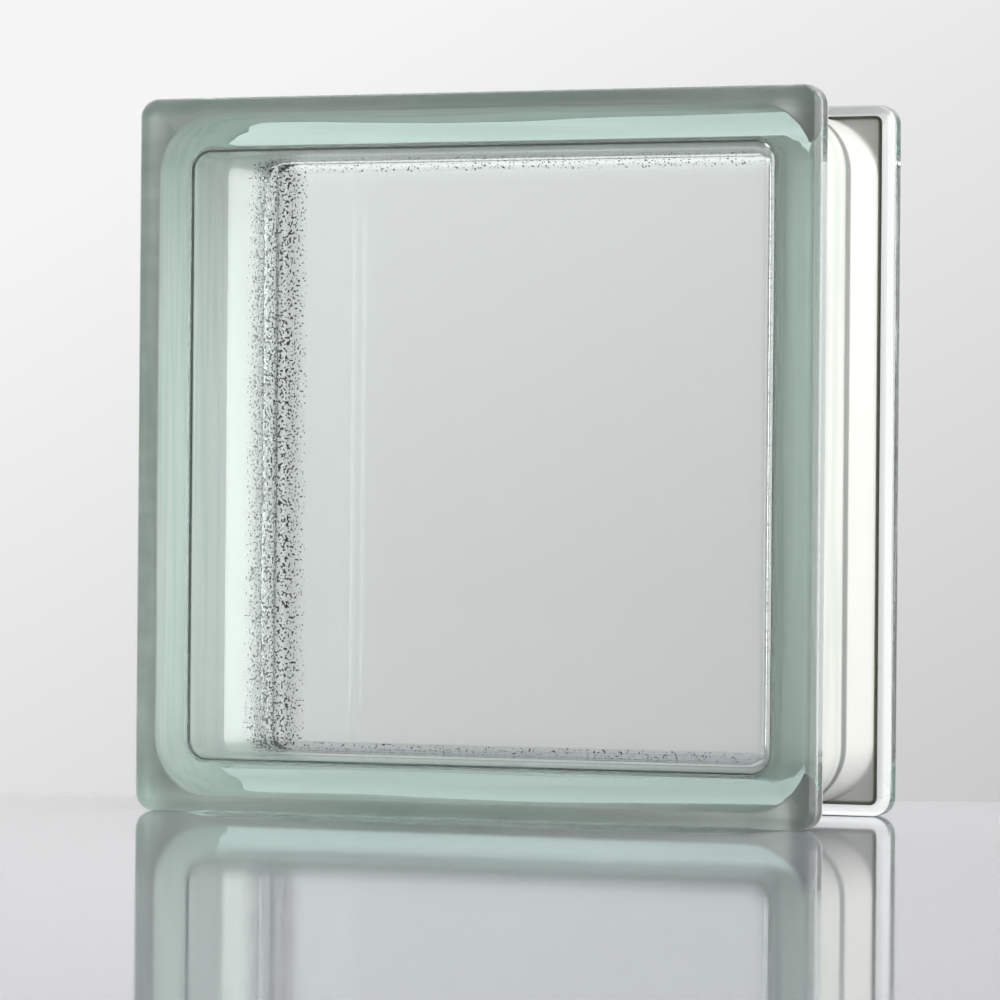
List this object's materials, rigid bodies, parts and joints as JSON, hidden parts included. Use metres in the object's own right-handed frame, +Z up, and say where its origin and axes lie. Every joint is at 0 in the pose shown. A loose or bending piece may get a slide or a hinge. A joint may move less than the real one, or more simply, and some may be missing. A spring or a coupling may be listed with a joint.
{
  "type": "glass block",
  "caption": "Square hollow glass wall block: two pressed clear halves sealed together, with flanged rims and a coated mortar channel round the edge.",
  "frame": {"origin": "bottom centre: midway between the two faces and the two sides, at the height of the lower rims that the block stands on", "axes": "+X along the width, +Y from the front face to the rear face, +Z up"},
  "size_m": [0.1968, 0.0794, 0.1969],
  "materials": {
    "clear_glass": "polished, with a faint green tint",
    "edge_coating": "matte sprayed coating"
  },
  "bodies": {
    "root": {"front_half": "clear_glass", "rear_half": "clear_glass", "edge_coating": "edge_coating"}
  },
  "joints": []
}
